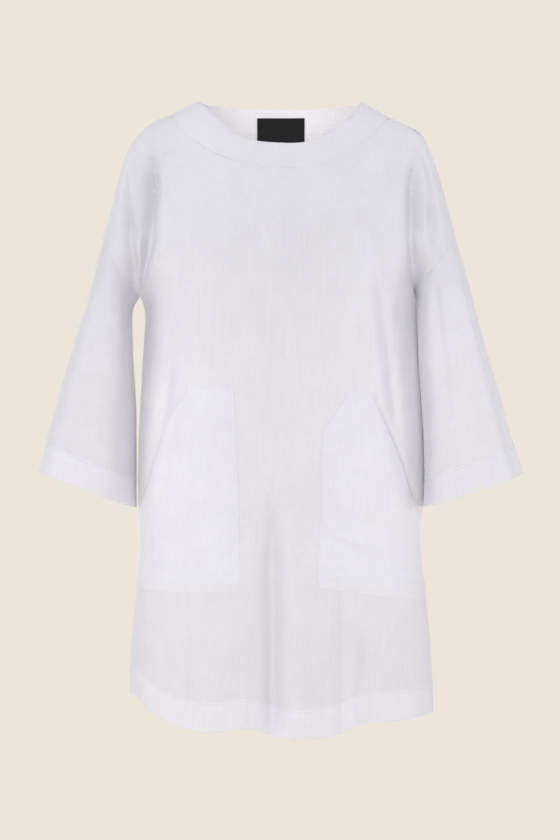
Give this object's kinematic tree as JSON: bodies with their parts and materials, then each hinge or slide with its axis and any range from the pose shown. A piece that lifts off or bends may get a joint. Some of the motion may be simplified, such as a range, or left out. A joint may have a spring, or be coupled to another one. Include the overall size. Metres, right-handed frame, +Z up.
{
  "type": "tunic top",
  "caption": "Loose linen tunic top in its worn shape, with a wide round neckband, dropped shoulders, wide cropped sleeves, slanted patch pockets and a curved hem.",
  "frame": {"origin": "half way between the places where the two shoulders bear, 16 mm below the high points of the neck", "axes": "+X to the viewer's right seen from the front, -Y out of the front, +Z up"},
  "size_m": [0.6754, 0.299, 0.8783],
  "materials": {
    "linen": "white slubbed linen in one layer",
    "linen_doubled": "white linen that lies in two layers and looks denser",
    "label_weave": "bare black woven label"
  },
  "bodies": {
    "root": {"front_panel": "linen", "back_panel": "linen", "left_sleeve": "linen", "right_sleeve": "linen", "front_neckband": "linen_doubled", "back_neckband": "linen_doubled", "left_pocket": "linen_doubled", "right_pocket": "linen_doubled", "neck_label": "label_weave"}
  },
  "joints": []
}
